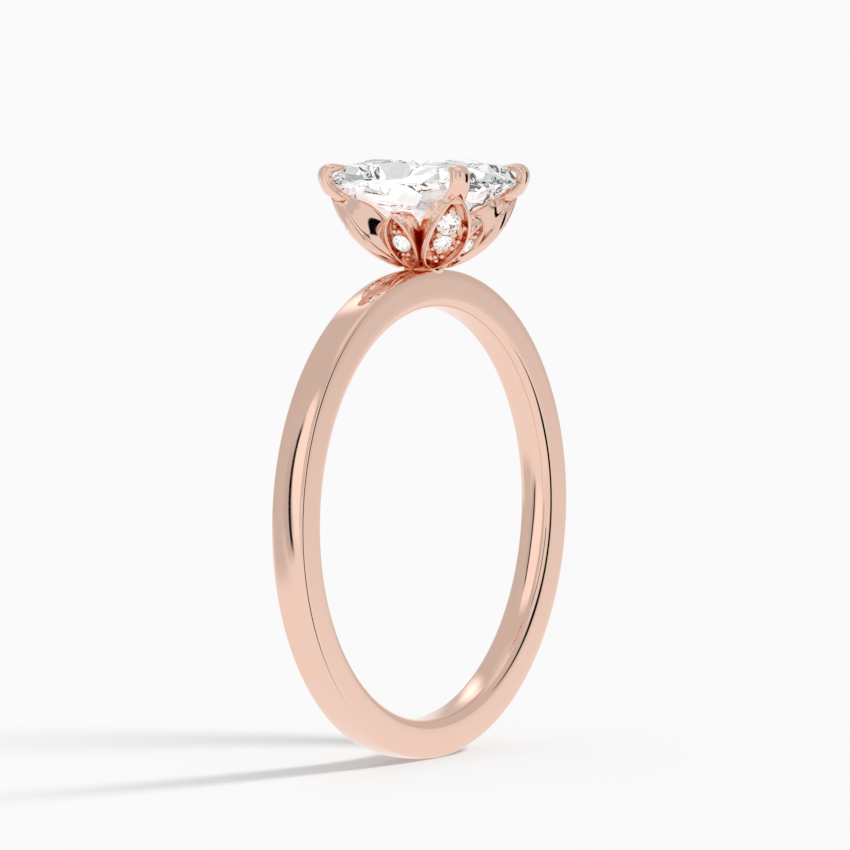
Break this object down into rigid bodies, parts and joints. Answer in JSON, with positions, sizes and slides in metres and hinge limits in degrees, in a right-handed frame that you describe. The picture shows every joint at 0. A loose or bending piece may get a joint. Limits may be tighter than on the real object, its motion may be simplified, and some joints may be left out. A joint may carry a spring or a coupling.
{
  "type": "engagement ring",
  "caption": "Rose gold engagement ring: slim polished band, four claw prongs on pave-set petals, elongated cushion-cut centre stone.",
  "frame": {"origin": "centre of the finger hole, midway across the band", "axes": "+Y along the finger hole's axis, +Z from the hole's centre up through the centre stone, +X across the band's plane"},
  "size_m": [0.0196, 0.0074, 0.024],
  "materials": {
    "rose_gold_band": "mirror polish",
    "rose_gold_head": "mirror polish",
    "centre_diamond": "faceted, polished",
    "melee_diamond": "faceted, polished"
  },
  "bodies": {
    "root": {"shank": "rose_gold_band", "head_collar": "rose_gold_head", "centre_stone": "centre_diamond", "corner_petal_front_left": "rose_gold_head", "claw_prong_front_left": "rose_gold_head", "upper_melee_front_left": "melee_diamond", "lower_melee_front_left": "melee_diamond", "corner_petal_back_left": "rose_gold_head", "claw_prong_back_left": "rose_gold_head", "upper_melee_back_left": "melee_diamond", "lower_melee_back_left": "melee_diamond", "corner_petal_back_right": "rose_gold_head", "claw_prong_back_right": "rose_gold_head", "upper_melee_back_right": "melee_diamond", "lower_melee_back_right": "melee_diamond", "corner_petal_front_right": "rose_gold_head", "claw_prong_front_right": "rose_gold_head", "upper_melee_front_right": "melee_diamond", "lower_melee_front_right": "melee_diamond", "side_petal_front": "rose_gold_head", "side_melee_front": "melee_diamond", "side_petal_left": "rose_gold_head", "side_melee_left": "melee_diamond", "side_petal_back": "rose_gold_head", "side_melee_back": "melee_diamond", "side_petal_right": "rose_gold_head", "side_melee_right": "melee_diamond"}
  },
  "joints": []
}
